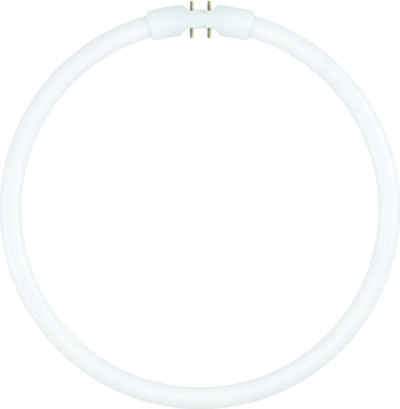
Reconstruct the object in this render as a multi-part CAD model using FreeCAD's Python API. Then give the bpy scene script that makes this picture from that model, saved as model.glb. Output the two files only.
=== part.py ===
import FreeCAD
import Part

import math
import os

# Circular fluorescent tube with a four-pin cap. All sizes are in millimetres.
# The origin is the centre of the ring, in the mid-plane of the glass. +Y points from there to
# the middle of the cap, +X to the right of the lamp and +Z to its front.
# An arc is a distance along the glass's centreline from the middle of the cap, positive to the
# right. An offset is a distance across the ring from that centreline, positive outward.

# Glass ring
ring_outer_diameter = 299.0
glass_diameter = 16.3
glass_end_rounding = 1.2
flare_rim = 2.1                 # from the glass's outside to the mouth of the funnel in its end
flare_taper = 2.1
flare_depth = 6.5
exhaust_tip_diameter = 2.4
exhaust_tip_reach = 4.2         # out of the glass's end
exhaust_tip_rounding = 0.9

# Contact pins
pin_spacing = 13.0
pin_diameter = 2.6
pin_length = 7.3
pin_tip_rounding = 0.7
pin_seat_step = 0.25            # by which the pin is thicker inside the cap's wall
pin_flange_step = 0.65
pin_flange_thickness = 0.8
pin_tail_wall = 0.5
pin_tail_length = 1.6
pin_clearance = 0.05

# Lead wires
lead_diameter = 0.6
lead_bore_clearance = 0.25
lead_seal_depth = 2.0           # into the glass, below the funnel's floor
lead_seal_clearance = 0.02
lead_out_of_glass = 2.0         # before the first bend
lead_level_run = 1.6            # beside the pins, before the bend into the bore
lead_gentle_bend = 3.0
lead_entry_bend = 1.4
lead_entry_gap = 0.25           # between that bend and the pin's tail
lead_short_of_tip = 0.6

# Cap, outside
pin_to_outer_shoulder = 2.2     # from the pin's axis to the shoulder's foot
pin_to_inner_shoulder = 4.1
outer_shoulder_slope = 45.0     # degrees
inner_shoulder_slope = 52.0     # degrees
pin_to_glass = 11.5             # from the pin's axis to the end of the glass
glass_in_sleeve = 21.0
mouth_chamfer = 2.2
mouth_rounding = 0.8
crest_rounding = 2.0
foot_rounding = 1.0
key_rib_height = 0.9
key_rib_length = 13.0
key_rib_rounding = 0.4
key_rib_to_pin = 1.6
notch_start = -1.5              # to the right of the waist's middle
notch_end = 4.1
notch_start_width = 0.5
notch_end_width = 1.9
notch_depth = 2.8
seam_depth = 0.2
seam_width = 0.24

# Cap, inside
wall = 1.6
mouth_wall = 2.2
notch_backing = 1.2
wire_room = 2.45                # from the centreline to the tails of the pins
sleeve_gap = 1.65               # between the glass and the sleeve's inside
mouth_clearance = 0.35
rib_count = 3                   # in each sleeve
rib_thickness = 1.2
rib_clearance = 0.1
stop_thickness = 1.2
stop_clearance = 0.3
stop_overlap = 2.6              # of the stop over the end of the glass
saddle_side = 1.5
saddle_thickness = 1.1
peg_diameter = 2.2
peg_length = 3.2
peg_tip_rounding = 0.3
peg_clearance = 0.05
peg_end_gap = 0.3
boss_wall = 0.95
boss_spacing = 0.5              # between a boss and the centreline
tongue_thickness = 0.6
tongue_height = 0.7
tongue_clearance = 0.05
tongue_end_gap = 2.5

# Glass ring, worked out
glass_radius = glass_diameter / 2
centreline = ring_outer_diameter / 2 - glass_radius
ring_length = 2 * math.pi * centreline
flare_mouth_radius = glass_radius - flare_rim
flare_floor_radius = flare_mouth_radius - flare_taper
exhaust_tip_radius = exhaust_tip_diameter / 2
pin_arc = pin_spacing / 2
glass_end_arc = pin_arc + pin_to_glass
cap_end_arc = glass_end_arc + glass_in_sleeve

# Pins and leads, worked out as offsets from the centreline
pin_radius = pin_diameter / 2
lead_radius = lead_diameter / 2
pin_bore_radius = lead_radius + lead_bore_clearance
pin_tail_radius = pin_bore_radius + pin_tail_wall
pin_seat_radius = pin_radius + pin_seat_step
pin_flange_radius = pin_seat_radius + pin_flange_step
flange_inside = wire_room + pin_tail_length
flange_outside = flange_inside + pin_flange_thickness
wall_inside = flange_outside + pin_clearance
waist_half = wall_inside + wall
pin_tip = waist_half + pin_length
lead_run_offset = wire_room - lead_entry_gap - lead_entry_bend
lead_glass_offset = (exhaust_tip_radius + flare_floor_radius) / 2

# Cap, worked out
sleeve_radius = glass_radius + sleeve_gap + wall
outer_flat_length = pin_spacing + 2 * pin_to_outer_shoulder
inner_flat_length = pin_spacing + 2 * pin_to_inner_shoulder
key_rib_width = pin_spacing - pin_diameter - 2 * key_rib_to_pin
notch_floor = math.sqrt(sleeve_radius ** 2 - waist_half ** 2) - notch_depth
stop_end_arc = glass_end_arc - stop_clearance
stop_start_arc = stop_end_arc - stop_thickness
stop_opening_radius = glass_radius - stop_overlap
mouth_arc = cap_end_arc - mouth_wall
rib_spacing = (mouth_arc - stop_end_arc) / (rib_count + 1)
saddle_outside = flange_inside - pin_clearance
saddle_width = 2 * (pin_tail_radius + saddle_side)
peg_radius = peg_diameter / 2
boss_radius = peg_radius + peg_clearance + boss_wall
peg_offset = boss_radius + boss_spacing
past = 5.0                      # how far a cutting tool runs past what it cuts
lap = 0.2                       # how far a tool runs into the room beside it
radius_match = 0.001

centre = FreeCAD.Vector(0, 0, 0)
rightward = FreeCAD.Vector(1, 0, 0)
outward = FreeCAD.Vector(0, 1, 0)
forward = FreeCAD.Vector(0, 0, 1)
sides = (("left", -1), ("right", 1))
rows = (("outer", 1), ("inner", -1))


def angle_at(arc):
    """The angle in degrees from +Y, about the ring's axis, of a place along the ring."""
    return math.degrees(arc / centreline)


def place_at(arc, offset=0.0):
    """The point at a place along and across the ring, in its mid-plane."""
    angle = math.radians(angle_at(arc))
    radius = centreline + offset
    return FreeCAD.Vector(radius * math.sin(angle), radius * math.cos(angle), 0)


def direction_at(arc):
    """The direction along the ring at a place, towards greater arcs."""
    angle = math.radians(angle_at(arc))
    return FreeCAD.Vector(math.cos(angle), -math.sin(angle), 0)


def at_waist(x, offset, height=0.0):
    """A point of the straight waist in the middle of the cap."""
    return FreeCAD.Vector(x, centreline + offset, height)


def face_of(points):
    """The flat face inside a closed outline."""
    return Part.Face(Part.makePolygon(points + points[:1]))


def swept(profile, start_arc, end_arc):
    """A face drawn in the plane X = 0, swept along the ring from one arc to another."""
    profile_at_end = profile.copy()
    profile_at_end.rotate(centre, forward, -angle_at(end_arc))
    return profile_at_end.revolve(centre, forward, angle_at(end_arc - start_arc))


def round_bar(radius, start_arc, end_arc):
    """A bar of round section that follows the ring."""
    circle = Part.makeCircle(radius, at_waist(0, 0), rightward)
    return swept(Part.Face(Part.Wire(circle)), start_arc, end_arc)


def turned(outline):
    """A solid of revolution about the X axis, from points of (along, radius)."""
    points = [FreeCAD.Vector(along, radius, 0) for along, radius in outline]
    return face_of(points).revolve(centre, rightward, 360)


def placed(shape, base, direction):
    """The shape with its X axis moved to start at base and run along direction."""
    moved = shape.copy()
    moved.Placement = FreeCAD.Placement(base, FreeCAD.Rotation(rightward, direction))
    return moved


def block(size_x, size_y, size_z, middle):
    """A rectangular block round a middle point."""
    corner = middle - FreeCAD.Vector(size_x, size_y, size_z) / 2
    return Part.makeBox(size_x, size_y, size_z, corner)


def mirrored(shape):
    """The same thing on the other side of the cap's middle."""
    return shape.mirror(centre, rightward)


def is_circle(edge, radius):
    """Whether an edge is a circle of the given radius."""
    return edge.Curve.TypeId == "Part::GeomCircle" and abs(edge.Curve.Radius - radius) < radius_match


def rounded_path(points, bends):
    """Straight runs from point to point, joined by a tangent arc of the radius given for each bend."""
    edges = []
    start = points[0]
    for before, corner, after, bend in zip(points, points[1:], points[2:], bends):
        back = (before - corner).normalize()
        ahead = (after - corner).normalize()
        half_angle = back.getAngle(ahead) / 2
        reach = bend / math.tan(half_angle)
        arc_start = corner + back * reach
        arc_end = corner + ahead * reach
        arc_middle = corner + (back + ahead).normalize() * (bend / math.sin(half_angle) - bend)
        edges.append(Part.LineSegment(start, arc_start).toShape())
        edges.append(Part.Arc(arc_start, arc_middle, arc_end).toShape())
        start = arc_end
    edges.append(Part.LineSegment(start, points[-1]).toShape())
    return Part.Wire(edges)


# Glass ring: one sealed tube bent to a circle, each end turned in to a funnel with a sealed
# exhaust tip at its middle and two holes in the press for the lead wires.

def exhaust_tip():
    """The stub that the tube was pumped through, along X from the funnel's floor outward."""
    length = flare_depth + exhaust_tip_reach + lap
    stub = Part.makeCylinder(exhaust_tip_radius, length, -exhaust_tip_reach * rightward, rightward)
    nose = [edge for edge in stub.Edges if edge.BoundBox.XMax < lap - exhaust_tip_reach]
    return stub.makeFillet(exhaust_tip_rounding, nose)


def discharge_tube():
    """The sealed glass ring."""
    ring = round_bar(glass_radius, glass_end_arc, ring_length - glass_end_arc)
    rims = [edge for edge in ring.Edges if is_circle(edge, glass_radius)]
    ring = ring.makeFillet(glass_end_rounding, rims)
    funnel = turned((
        (-past, 0),
        (-past, flare_mouth_radius),
        (0, flare_mouth_radius),
        (flare_depth, flare_floor_radius),
        (flare_depth, 0),
    ))
    for _, side in sides:
        end = place_at(side * glass_end_arc)
        into_glass = side * direction_at(side * glass_end_arc)
        ring = ring.cut(placed(funnel, end, into_glass))
        ring = ring.fuse(placed(exhaust_tip(), end, into_glass))
        for _, row in rows:
            ring = ring.cut(seal_hole(side, row))
    return ring


def seal_depth_arc(side):
    """The place along the ring where the lead wires end in the glass."""
    return side * (glass_end_arc + flare_depth + lead_seal_depth)


def seal_hole(side, row):
    """The hole that a lead wire leaves in the press."""
    bottom = place_at(seal_depth_arc(side), row * lead_glass_offset)
    mouth = place_at(side * glass_end_arc, row * lead_glass_offset)
    radius = lead_radius + lead_seal_clearance
    return Part.makeCylinder(radius, (mouth - bottom).Length, bottom, mouth - bottom)


# Lead wires: from the press, out of the funnel, along the cap and up the bore of a pin.

def lead(side, row):
    """One of the four lead wires."""
    bottom = place_at(seal_depth_arc(side), row * lead_glass_offset)
    mouth = place_at(side * glass_end_arc, row * lead_glass_offset)
    out_of_glass = mouth + (mouth - bottom).normalize() * lead_out_of_glass
    level_x = side * (pin_arc + lead_entry_bend + lead_level_run)
    points = [
        bottom,
        out_of_glass,
        at_waist(level_x, row * lead_run_offset),
        at_waist(side * pin_arc, row * lead_run_offset),
        at_waist(side * pin_arc, row * (pin_tip - lead_short_of_tip)),
    ]
    path = rounded_path(points, (lead_gentle_bend, lead_gentle_bend, lead_entry_bend))
    section = Part.Wire(Part.makeCircle(lead_radius, bottom, mouth - bottom))
    return path.makePipeShell([section], True, False)


# Contact pins: hollow turned brass, each with a flange that the two halves of the cap hold
# between the waist's wall and a saddle behind it.

def pin_form(clearance):
    """A pin's outline turned about its axis, which starts on the centreline."""
    return turned((
        (wire_room - clearance, 0),
        (wire_room - clearance, pin_tail_radius + clearance),
        (flange_inside - clearance, pin_tail_radius + clearance),
        (flange_inside - clearance, pin_flange_radius + clearance),
        (flange_outside + clearance, pin_flange_radius + clearance),
        (flange_outside + clearance, pin_seat_radius + clearance),
        (waist_half + clearance, pin_seat_radius + clearance),
        (waist_half + clearance, pin_radius + clearance),
        (pin_tip + clearance, pin_radius + clearance),
        (pin_tip + clearance, 0),
    ))


def at_pin(shape, side, row):
    """A shape drawn along the X axis, set on the axis of one of the four pins."""
    return placed(shape, at_waist(side * pin_arc, 0), row * outward)


def pin():
    """A hollow pin with a round nose, along the X axis."""
    body = pin_form(0.0)
    nose = [edge for edge in body.Edges if edge.BoundBox.XMin > pin_tip - pin_tip_rounding]
    bore = Part.makeCylinder(pin_bore_radius, pin_tip + past, centre, rightward)
    return body.makeFillet(pin_tip_rounding, nose).cut(bore)


# Cap: two moulded halves, parted in the mid-plane of the ring so that they close round the
# glass. Two sleeves hold the ends of the glass, and a narrow waist between them holds the pins.

def recess(row, flat_length, slope, inset):
    """The room beside the waist that a lampholder fills, between two sloping shoulders."""
    floor = waist_half - inset
    top = sleeve_radius + past
    floor_half = flat_length / 2 + inset * math.tan(math.radians(slope / 2))
    top_half = floor_half + (top - floor) / math.tan(math.radians(slope))
    corners = ((-floor_half, floor), (floor_half, floor), (top_half, top), (-top_half, top))
    outline = face_of([at_waist(x, row * offset, -top) for x, offset in corners])
    return outline.extrude(2 * top * forward)


def cap_form(inset):
    """Two sleeves joined by a flat-sided waist, set in by the same depth all round."""
    body = round_bar(sleeve_radius - inset, inset - cap_end_arc, cap_end_arc - inset)
    body = body.cut(recess(1, outer_flat_length, outer_shoulder_slope, inset))
    return body.cut(recess(-1, inner_flat_length, inner_shoulder_slope, inset))


def rounded_cap_form(inset):
    """The same form with its feet and crests rounded, and its mouths chamfered. Its feet are its
    only straight edges, and its crests the only ones that are neither straight nor round."""
    body = cap_form(inset)
    feet = [edge for edge in body.Edges if edge.Curve.TypeId == "Part::GeomLine"]
    body = body.makeFillet(foot_rounding + inset, feet)
    crests = [edge for edge in body.Edges if edge.Curve.TypeId == "Part::GeomBSplineCurve"]
    body = body.makeFillet(crest_rounding - inset, crests)
    mouths = [edge for edge in body.Edges if is_circle(edge, sleeve_radius - inset)]
    body = body.makeChamfer(mouth_chamfer, mouths)
    sleeve_middle = place_at((glass_end_arc + cap_end_arc) / 2)
    rims = [
        edge for edge in body.Edges
        if abs(edge.CenterOfMass.x) > sleeve_middle.x and edge.BoundBox.ZLength > glass_diameter
    ]
    return body.makeFillet(mouth_rounding - inset, rims)


def key_rib():
    """The raised pad between the two outer pins."""
    top = waist_half + key_rib_height
    depth = key_rib_height + wall / 2
    pad = block(key_rib_width, depth, key_rib_length, at_waist(0, top - depth / 2))
    rim = [edge for edge in pad.Edges if edge.BoundBox.YMin > centreline + top - key_rib_rounding]
    return pad.makeFillet(key_rib_rounding, rim)


def notch(row):
    """The notch in the waist's front edge, which widens towards the right-hand pin."""
    corners = (
        (notch_start, waist_half - notch_start_width),
        (notch_end, waist_half - notch_end_width),
        (notch_end, waist_half + past),
        (notch_start, waist_half + past),
    )
    outline = face_of([at_waist(x, row * offset, notch_floor) for x, offset in corners])
    return outline.extrude((notch_depth + past) * forward)


def seam_groove():
    """The fine groove round the cap where its halves meet."""
    width = 2 * (centreline + sleeve_radius)
    slab = block(width, width, seam_width, centre)
    return slab.cut(rounded_cap_form(seam_depth))


def plates(thickness, start_arc):
    """A plate across each sleeve."""
    plate = round_bar(sleeve_radius, start_arc, start_arc + thickness)
    return [plate, mirrored(plate)]


def column(radius, row, bottom, top):
    """A round column through the cap on the axis of one of the two pegs."""
    return Part.makeCylinder(radius, top - bottom, at_waist(0, row * peg_offset, bottom))


def saddle(side, row):
    """The wall behind a pin's flange, through the whole height of the cap."""
    middle = at_waist(side * pin_arc, row * (saddle_outside - saddle_thickness / 2))
    return block(saddle_width, saddle_thickness, 2 * sleeve_radius, middle)


def backing(row):
    """The thickening of the waist's wall between the pins, behind the notch."""
    middle = at_waist(0, row * wall_inside)
    return block(pin_spacing, 2 * notch_backing, 2 * sleeve_radius, middle)


def cap_cavity():
    """What is hollow inside the cap: between the stops, ribs, saddles and bosses, and round the
    glass, the wires and the pins."""
    solid_inside = plates(stop_thickness, stop_start_arc) + plates(mouth_wall, mouth_arc)
    for number in range(rib_count):
        middle_arc = stop_end_arc + (number + 1) * rib_spacing
        solid_inside += plates(rib_thickness, middle_arc - rib_thickness / 2)
    rooms = [
        round_bar(stop_opening_radius, stop_start_arc - lap, stop_end_arc + lap),
        round_bar(glass_radius + rib_clearance, stop_end_arc, mouth_arc),
        round_bar(glass_radius + mouth_clearance, mouth_arc - lap, cap_end_arc + past),
    ]
    rooms += [mirrored(room) for room in rooms]
    for _, row in rows:
        solid_inside.append(column(boss_radius, row, -sleeve_radius, sleeve_radius))
        solid_inside.append(backing(row))
        for _, side in sides:
            solid_inside.append(saddle(side, row))
            rooms.append(at_pin(pin_form(pin_clearance), side, row))
    return cap_form(wall).cut(solid_inside).fuse(rooms)


def tongues(clearance, root):
    """The four tongues along the middle of the sleeves' walls, below the parting plane, or the
    room for them."""
    half = tongue_thickness / 2 + clearance
    bottom = -tongue_height - clearance
    end_gap = tongue_end_gap - clearance
    strips = []
    for _, row in rows:
        middle = row * (sleeve_radius - wall / 2)
        corners = ((-half, bottom), (half, bottom), (half, root), (-half, root))
        profile = face_of([at_waist(0, middle + offset, height) for offset, height in corners])
        strip = swept(profile, stop_end_arc + end_gap, cap_end_arc - end_gap)
        strips += [strip, mirrored(strip)]
    return strips


def peg(row):
    """A locating peg of the front half, with a rounded end."""
    body = column(peg_radius, row, -peg_length, peg_length)
    end = [edge for edge in body.Edges if edge.BoundBox.ZMax < peg_tip_rounding - peg_length]
    return body.makeFillet(peg_tip_rounding, end)


def cap_halves():
    """The front and the rear half of the cap."""
    notches = [notch(row) for _, row in rows]
    cap = rounded_cap_form(0.0).cut(seam_groove()).fuse(key_rib()).cut(notches + [cap_cavity()])
    size = 2 * ring_outer_diameter
    front = cap.common(block(size, size, size, size / 2 * forward))
    rear = cap.common(block(size, size, size, -size / 2 * forward))
    pegs = [peg(row) for _, row in rows]
    sockets = [
        column(peg_radius + peg_clearance, row, -peg_length - peg_end_gap, past)
        for _, row in rows
    ]
    front = front.fuse(pegs + tongues(0.0, wall / 2))
    rear = rear.cut(sockets + tongues(tongue_clearance, wall / 2))
    return front, rear


def write(node, shape):
    """One piece, written as its own file."""
    shape.removeSplitter().Solids[0].exportStep(f"parts/{node}.step")


os.makedirs("parts", exist_ok=True)
cap_front, cap_rear = cap_halves()
write("discharge_tube", discharge_tube())
write("cap_front_shell", cap_front)
write("cap_rear_shell", cap_rear)
for row_name, row in rows:
    for side_name, side in sides:
        write(f"{row_name}_{side_name}_pin", at_pin(pin(), side, row))
        write(f"{row_name}_{side_name}_lead", lead(side, row))
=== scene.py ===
import math

import bpy
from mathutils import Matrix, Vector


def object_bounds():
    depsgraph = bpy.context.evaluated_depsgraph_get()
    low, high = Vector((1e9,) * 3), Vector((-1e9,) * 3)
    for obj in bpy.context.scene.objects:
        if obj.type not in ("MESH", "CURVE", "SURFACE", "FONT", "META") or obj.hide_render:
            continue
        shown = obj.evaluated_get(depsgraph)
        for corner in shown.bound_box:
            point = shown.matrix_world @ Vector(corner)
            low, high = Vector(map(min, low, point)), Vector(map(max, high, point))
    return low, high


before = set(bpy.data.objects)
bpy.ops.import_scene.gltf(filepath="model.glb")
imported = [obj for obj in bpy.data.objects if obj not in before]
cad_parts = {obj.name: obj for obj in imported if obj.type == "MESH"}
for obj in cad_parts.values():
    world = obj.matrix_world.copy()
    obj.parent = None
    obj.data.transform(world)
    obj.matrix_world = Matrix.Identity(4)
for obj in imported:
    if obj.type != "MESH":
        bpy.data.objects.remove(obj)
cad_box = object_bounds()

# The glass ring. Soda-lime glass tube, bent to a circle while hot and lined with a matt white
# phosphor powder. The powder settles a little unevenly, and the bending leaves the glass very
# slightly wavy.
MM = 0.001
COAT_CLOUD = 38 * MM
COAT_GRAIN = 0.9 * MM  # the real powder is some microns: drawn coarser, so that it shows
COAT_GRAIN_HEIGHT = 0.02 * MM
COAT_GRAIN_STRENGTH = 0.4
COAT_THIN = "#F1F8F9"
COAT_THICK = "#F6FBFC"
THIN_AMOUNT = 0.1
THICK_AMOUNT = 0.38
COAT_ROUGHNESS = 0.85
COAT_GLOSS = 0.1
BEND_WAVE = 55 * MM
BEND_WAVE_HEIGHT = 0.05 * MM
GLASS_IOR = 1.51
GLASS_ROUGHNESS = 0.06


def linear(hex_colour):
    """An sRGB hex colour as linear RGBA."""
    channels = [int(hex_colour[i:i + 2], 16) / 255 for i in (1, 3, 5)]
    return [c / 12.92 if c <= 0.04045 else ((c + 0.055) / 1.055) ** 2.4 for c in channels] + [1]


def empty_tree(owner):
    """The node tree of a material or a world, with nothing in it."""
    owner.use_nodes = True
    for old in list(owner.node_tree.nodes):
        owner.node_tree.nodes.remove(old)
    return owner.node_tree


def node(tree, kind, inputs=(), steps=(), **settings):
    """Adds a node with its settings. Each input is given a value, or the output that feeds it,
    and each step of a colour ramp is a position and the hex colour there."""
    added = tree.nodes.new(kind)
    for name, value in settings.items():
        setattr(added, name, value)
    for socket, value in dict(inputs).items():
        if isinstance(value, bpy.types.NodeSocket):
            tree.links.new(value, added.inputs[socket])
        else:
            added.inputs[socket].default_value = value
    if steps:
        added.color_ramp.interpolation = "EASE"
        stops = added.color_ramp.elements
        while len(stops) < len(steps):
            stops.new(1.0)
        for stop, (position, colour) in zip(stops, steps):
            stop.position = position
            stop.color = linear(colour)
    return added


def dress(piece_name, material):
    """Gives a CAD node its material."""
    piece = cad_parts[piece_name]
    piece.data.materials.clear()
    piece.data.materials.append(material)


# Phosphor under clear drawn glass: the powder gives an even, opaque white that is faintly cool,
# and the glass over it gives clear reflections that ripple a little.
coated_glass = bpy.data.materials.new("phosphor_coated_drawn_glass")
tree = empty_tree(coated_glass)
place = node(tree, "ShaderNodeTexCoord").outputs["Object"]
cloud = node(tree, "ShaderNodeTexNoise", {
    "Vector": place, "Scale": 1 / COAT_CLOUD, "Detail": 4.0, "Roughness": 0.55,
})
grain = node(tree, "ShaderNodeTexNoise", {"Vector": place, "Scale": 1 / COAT_GRAIN, "Detail": 2.0})
powder = node(tree, "ShaderNodeMath", {
    0: cloud.outputs["Fac"], 1: grain.outputs["Fac"],
}, operation="MULTIPLY")
wave = node(tree, "ShaderNodeTexNoise", {"Vector": place, "Scale": 1 / BEND_WAVE, "Detail": 1.0})
ripple = node(tree, "ShaderNodeBump", {
    "Height": wave.outputs["Fac"], "Distance": BEND_WAVE_HEIGHT, "Strength": 1.0,
})
powder_bump = node(tree, "ShaderNodeBump", {
    "Height": grain.outputs["Fac"],
    "Distance": COAT_GRAIN_HEIGHT,
    "Strength": COAT_GRAIN_STRENGTH,
})
coat_colour = node(tree, "ShaderNodeValToRGB", {"Fac": powder.outputs[0]}, steps=[
    (THIN_AMOUNT, COAT_THIN), (THICK_AMOUNT, COAT_THICK),
])
glass_over_coat = node(tree, "ShaderNodeBsdfPrincipled", {
    "Base Color": coat_colour.outputs["Color"],
    "Roughness": COAT_ROUGHNESS,
    "IOR": GLASS_IOR,
    "Specular IOR Level": COAT_GLOSS,
    "Coat Weight": 1.0,
    "Coat Roughness": GLASS_ROUGHNESS,
    "Coat IOR": GLASS_IOR,
    "Normal": powder_bump.outputs["Normal"],
    "Coat Normal": ripple.outputs["Normal"],
})
node(tree, "ShaderNodeOutputMaterial", {"Surface": glass_over_coat.outputs[0]})
dress("discharge_tube", coated_glass)

# The cap. Two halves of white polycarbonate, injection moulded in spark-eroded tools and pressed
# together over their pegs, round the ends of the glass.
MOULD_GRAIN = 0.5 * MM  # the real grain is near 0.1 mm: drawn coarser, so that it shows
MOULD_GRAIN_HEIGHT = 0.03 * MM
MOULD_GRAIN_STRENGTH = 0.5
FLOW_MARK = 14 * MM
FLOW_TONE = 0.18  # how much of the painted step from waist to mouth a flow mark can make
NOISE_LOW = 0.3  # noise lies almost all between these two
NOISE_HIGH = 0.7
WAIST_END = 10 * MM  # to the left and right of the middle of the cap
MOUTH = 36 * MM
# Painted shade over the hollow waist, and painted light over the glass behind the mouths.
CAP_PAINTED_SHADE_OVER_HOLLOW = "#EAF3F3"
CAP_PAINTED_LIGHT_OVER_GLASS = "#F1FAFA"
SATIN_LEAST = 0.38
SATIN_MOST = 0.5
POLYCARBONATE_IOR = 1.58

# Polycarbonate moulded against a spark-eroded tool: the eye sees a cool white satin with a very
# fine even grain, and faint broad marks where the plastic flowed. The plastic lets a little light
# through. That is painted into its colour: painted light where white glass stands close behind it,
# and painted shade over the hollow waist.
cap_plastic = bpy.data.materials.new("spark_textured_moulded_polycarbonate")
tree = empty_tree(cap_plastic)
place = node(tree, "ShaderNodeTexCoord").outputs["Object"]
from_middle = node(tree, "ShaderNodeMath", {
    0: node(tree, "ShaderNodeSeparateXYZ", {"Vector": place}).outputs["X"],
}, operation="ABSOLUTE")
# Painted light: the colour runs whiter from the waist out to the mouths, mixed with the real flow
# marks.
painted_backlight = node(tree, "ShaderNodeMapRange", {
    "Value": from_middle.outputs[0], "From Min": WAIST_END, "From Max": MOUTH,
})
flow = node(tree, "ShaderNodeTexNoise", {
    "Vector": place, "Scale": 1 / FLOW_MARK, "Detail": 3.0, "Distortion": 0.6,
})
flow_tone = node(tree, "ShaderNodeMapRange", {
    "Value": flow.outputs["Fac"],
    "From Min": NOISE_LOW,
    "From Max": NOISE_HIGH,
    "To Min": -FLOW_TONE,
    "To Max": FLOW_TONE,
})
painted_backlight_and_flow = node(tree, "ShaderNodeMath", {
    0: painted_backlight.outputs["Result"], 1: flow_tone.outputs["Result"],
})
spark = node(tree, "ShaderNodeTexNoise", {"Vector": place, "Scale": 1 / MOULD_GRAIN, "Detail": 3.0})
satin = node(tree, "ShaderNodeMapRange", {
    "Value": spark.outputs["Fac"], "To Min": SATIN_LEAST, "To Max": SATIN_MOST,
})
grain_bump = node(tree, "ShaderNodeBump", {
    "Height": spark.outputs["Fac"],
    "Distance": MOULD_GRAIN_HEIGHT,
    "Strength": MOULD_GRAIN_STRENGTH,
})
cap_colour = node(tree, "ShaderNodeValToRGB", {"Fac": painted_backlight_and_flow.outputs[0]}, steps=[
    (0.0, CAP_PAINTED_SHADE_OVER_HOLLOW), (1.0, CAP_PAINTED_LIGHT_OVER_GLASS),
])
moulded = node(tree, "ShaderNodeBsdfPrincipled", {
    "Base Color": cap_colour.outputs["Color"],
    "Roughness": satin.outputs["Result"],
    "IOR": POLYCARBONATE_IOR,
    "Normal": grain_bump.outputs["Normal"],
})
node(tree, "ShaderNodeOutputMaterial", {"Surface": moulded.outputs[0]})
for half in ("front", "rear"):
    dress(f"cap_{half}_shell", cap_plastic)

# The four contact pins. Hollow, turned from brass rod, and held by a flange between the halves
# of the cap. The contacts of a lampholder slide along their left and right flanks.
PIN_SPACING = 13 * MM
PIN_RADIUS = 1.3 * MM
TURNING_PITCH = 0.3 * MM  # the real one is near 0.05 mm: drawn coarser, so that it shows
TURNING_DEPTH = 0.01 * MM
TURNING_STRENGTH = 0.6
WAVES_IN_SCALE = 20  # the wave texture's own bands in one unit, at a scale of 1
TARNISH_PATCH = 1.6 * MM
TARNISH_SPREAD = 0.12  # how far a patch moves the painted reflection stripes, in pin widths
# Painted reflection across each pin: a pale flank, a dark core, a painted highlight and a darker
# edge.
BRASS_PAINTED_PALE_FLANK = "#BDBA9A"
BRASS_PAINTED_DARK_CORE = "#68674A"
BRASS_PAINTED_HIGHLIGHT = "#C6C3A6"
BRASS_PAINTED_DARK_EDGE = "#A9A684"
PAINTED_CORE_PLACE = 0.38  # across the pin, in pin widths from its left flank
PAINTED_HIGHLIGHT_PLACE = 0.76
TARNISHED_ROUGHNESS = 0.5
RUBBED_ROUGHNESS = 0.28
POSITIONS = ("outer_left", "outer_right", "inner_left", "inner_right")

# Turned brass, tarnished in random patches, with fine rings round it from the tool. Across each
# pin the colour carries a painted reflection, as a metal rod shows it from above: a pale left
# flank, a dark core, a painted highlight right of the middle and a darker right edge.
brass = bpy.data.materials.new("turned_tarnished_brass")
tree = empty_tree(brass)
place = node(tree, "ShaderNodeTexCoord").outputs["Object"]
in_row = node(tree, "ShaderNodeMath", {
    0: node(tree, "ShaderNodeSeparateXYZ", {"Vector": place}).outputs["X"], 1: PIN_SPACING,
}, operation="FLOORED_MODULO")
across = node(tree, "ShaderNodeMapRange", {
    "Value": in_row.outputs[0],
    "From Min": PIN_SPACING / 2 - PIN_RADIUS,
    "From Max": PIN_SPACING / 2 + PIN_RADIUS,
})
patches = node(tree, "ShaderNodeTexNoise", {
    "Vector": place, "Scale": 1 / TARNISH_PATCH, "Detail": 4.0,
})
shift = node(tree, "ShaderNodeMapRange", {
    "Value": patches.outputs["Fac"],
    "From Min": NOISE_LOW,
    "From Max": NOISE_HIGH,
    "To Min": -TARNISH_SPREAD,
    "To Max": TARNISH_SPREAD,
})
# Painted reflection stripes across the pin, moved a little by the tarnish patches.
painted_stripes_and_tarnish = node(tree, "ShaderNodeMath", {0: across.outputs["Result"], 1: shift.outputs["Result"]})
rings = node(tree, "ShaderNodeTexWave", {
    "Vector": place, "Scale": 1 / (WAVES_IN_SCALE * TURNING_PITCH), "Distortion": 0.4,
}, bands_direction="Y")
turning = node(tree, "ShaderNodeBump", {
    "Height": rings.outputs["Fac"], "Distance": TURNING_DEPTH, "Strength": TURNING_STRENGTH,
})
wear = node(tree, "ShaderNodeMapRange", {
    "Value": patches.outputs["Fac"], "To Min": TARNISHED_ROUGHNESS, "To Max": RUBBED_ROUGHNESS,
})
brass_colour = node(tree, "ShaderNodeValToRGB", {"Fac": painted_stripes_and_tarnish.outputs[0]}, steps=[
    (0.0, BRASS_PAINTED_PALE_FLANK),
    (PAINTED_CORE_PLACE, BRASS_PAINTED_DARK_CORE),
    (PAINTED_HIGHLIGHT_PLACE, BRASS_PAINTED_HIGHLIGHT),
    (1.0, BRASS_PAINTED_DARK_EDGE),
])
turned = node(tree, "ShaderNodeBsdfPrincipled", {
    "Base Color": brass_colour.outputs["Color"],
    "Metallic": 1.0,
    "Roughness": wear.outputs["Result"],
    "Normal": turning.outputs["Normal"],
})
node(tree, "ShaderNodeOutputMaterial", {"Surface": turned.outputs[0]})
for position in POSITIONS:
    dress(f"{position}_pin", brass)

# The four lead wires. Nickel-plated iron, drawn, and soft enough to bend by hand. They come from
# the presses of the glass, and only their ends show, in the bores of the pins.
DRAWING_MARK = 0.4 * MM
NICKEL = "#B8B5AC"
DRAWN_LEAST = 0.25
DRAWN_MOST = 0.45

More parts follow.
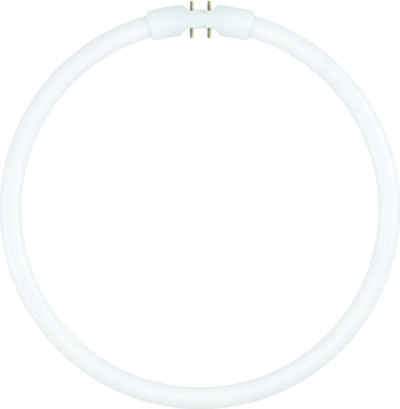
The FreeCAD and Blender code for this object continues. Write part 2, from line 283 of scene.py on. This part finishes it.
# Drawn iron under nickel: a warm grey metal, satin where the drawing left fine marks.
nickel = bpy.data.materials.new("drawn_nickel_plated_iron")
tree = empty_tree(nickel)
place = node(tree, "ShaderNodeTexCoord").outputs["Object"]
marks = node(tree, "ShaderNodeTexNoise", {
    "Vector": place, "Scale": 1 / DRAWING_MARK, "Detail": 3.0,
})
marked = node(tree, "ShaderNodeMapRange", {
    "Value": marks.outputs["Fac"], "To Min": DRAWN_LEAST, "To Max": DRAWN_MOST,
})
drawn = node(tree, "ShaderNodeBsdfPrincipled", {
    "Base Color": linear(NICKEL),
    "Metallic": 1.0,
    "Roughness": marked.outputs["Result"],
})
node(tree, "ShaderNodeOutputMaterial", {"Surface": drawn.outputs[0]})
for position in POSITIONS:
    dress(f"{position}_lead", nickel)

# The floor: a sweep of white paper that the lamp lies on. It is white to the eye and in
# reflections, and it keeps the lamp's shadow.
FLOOR_SIZE = 60.0
PAPER = "#EAECEC"
WHITE = "#FFFFFF"
EYE_GLOW = 0.8
EYE_SHADE = "#898989"
GLOSS_GLOW = 0.12
GLOSS_SHADE = "#E7E7E7"

half_floor = FLOOR_SIZE / 2
floor_z = cad_box[0][2]
floor_mesh = bpy.data.meshes.new("floor")
floor_mesh.from_pydata([
    (-half_floor, -half_floor, floor_z),
    (half_floor, -half_floor, floor_z),
    (half_floor, half_floor, floor_z),
    (-half_floor, half_floor, floor_z),
], [], [(0, 1, 2, 3)])
floor = bpy.data.objects.new("floor", floor_mesh)
bpy.context.scene.collection.objects.link(floor)


def seen_in_gloss(tree, ray):
    """One where a ray comes from a reflection or through glass, and nought elsewhere."""
    return node(tree, "ShaderNodeMath", {
        0: ray.outputs["Is Glossy Ray"], 1: ray.outputs["Is Transmission Ray"],
    }, operation="MAXIMUM").outputs[0]


def glowing_paper(tree, glow, shade):
    """Paper with a glow of its own, over a shade that takes the shadows."""
    shaded = node(tree, "ShaderNodeBsdfDiffuse", {"Color": linear(shade)})
    lit = node(tree, "ShaderNodeEmission", {"Color": linear(WHITE), "Strength": glow})
    return node(tree, "ShaderNodeAddShader", {0: shaded.outputs[0], 1: lit.outputs[0]})


# Uncoated white paper: matt and even.
paper = bpy.data.materials.new("uncoated_white_paper")
tree = empty_tree(paper)
ray = node(tree, "ShaderNodeLightPath")
plain = node(tree, "ShaderNodeBsdfDiffuse", {"Color": linear(PAPER)})
reflected = node(tree, "ShaderNodeMixShader", {
    0: seen_in_gloss(tree, ray),
    1: plain.outputs[0],
    2: glowing_paper(tree, GLOSS_GLOW, GLOSS_SHADE).outputs[0],
})
looked_at = node(tree, "ShaderNodeMixShader", {
    0: ray.outputs["Is Camera Ray"],
    1: reflected.outputs[0],
    2: glowing_paper(tree, EYE_GLOW, EYE_SHADE).outputs[0],
})
node(tree, "ShaderNodeOutputMaterial", {"Surface": looked_at.outputs[0]})
floor_mesh.materials.append(paper)

# The light: a white room, a large soft lamp on each side, low down, and a weak soft one overhead.
# Azimuth is in degrees from +Y towards +X, and each lamp faces the middle of the ring.
ROOM_LIGHT = 0.77
LAMPS = {
    "right_lamp": {"azimuth": 78, "elevation": 30, "distance": 2.0, "size": 1.6, "watts": 7.5},
    "left_lamp": {"azimuth": 258, "elevation": 20, "distance": 2.0, "size": 1.6, "watts": 6.4},
    "top_lamp": {"azimuth": 0, "elevation": 90, "distance": 0.6, "size": 0.6, "watts": 0.43},
}

world = bpy.data.worlds.new("white_room")
bpy.context.scene.world = world
tree = empty_tree(world)
ray = node(tree, "ShaderNodeLightPath")
seen = node(tree, "ShaderNodeMath", {
    0: ray.outputs["Is Camera Ray"], 1: seen_in_gloss(tree, ray),
}, operation="MAXIMUM")
lit = node(tree, "ShaderNodeBackground", {"Color": linear(WHITE), "Strength": ROOM_LIGHT})
shown = node(tree, "ShaderNodeBackground", {"Color": linear(WHITE), "Strength": 1.0})
room = node(tree, "ShaderNodeMixShader", {
    0: seen.outputs[0], 1: lit.outputs[0], 2: shown.outputs[0],
})
node(tree, "ShaderNodeOutputWorld", {"Surface": room.outputs[0]})

for lamp_name, stand in LAMPS.items():
    lamp_data = bpy.data.lights.new(lamp_name, "AREA")
    lamp_data.size = stand["size"]
    lamp_data.energy = stand["watts"]
    lamp = bpy.data.objects.new(lamp_name, lamp_data)
    bpy.context.scene.collection.objects.link(lamp)
    azimuth = math.radians(stand["azimuth"])
    elevation = math.radians(stand["elevation"])
    lamp.location = (
        stand["distance"] * math.cos(elevation) * math.sin(azimuth),
        stand["distance"] * math.cos(elevation) * math.cos(azimuth),
        stand["distance"] * math.sin(elevation),
    )
    lamp.rotation_euler = (-lamp.location).to_track_quat("-Z", "Y").to_euler()

# The camera looks straight down from far off, so that it sees almost no perspective. The frame
# is 305.2 mm high, and its middle is a little above the middle of the ring, towards the cap,
# which stands a hair to the right of straight up.
FRAME_HEIGHT = 0.3052
FRAME_MIDDLE_Y = 0.00327
CAMERA_HEIGHT = 9.6
CAMERA_TURN = 0.12  # degrees
SENSOR_HEIGHT = 24.0  # millimetres
CLIP_END = 100.0

camera_data = bpy.data.cameras.new("camera")
camera_data.sensor_fit = "VERTICAL"
camera_data.sensor_height = SENSOR_HEIGHT
camera_data.lens = SENSOR_HEIGHT * CAMERA_HEIGHT / FRAME_HEIGHT
camera_data.clip_end = CLIP_END
camera = bpy.data.objects.new("camera", camera_data)
bpy.context.scene.collection.objects.link(camera)
camera.location = (0.0, FRAME_MIDDLE_Y, CAMERA_HEIGHT)
camera.rotation_euler = (0.0, 0.0, math.radians(CAMERA_TURN))
bpy.context.scene.camera = camera
bpy.context.scene.view_settings.view_transform = "Standard"
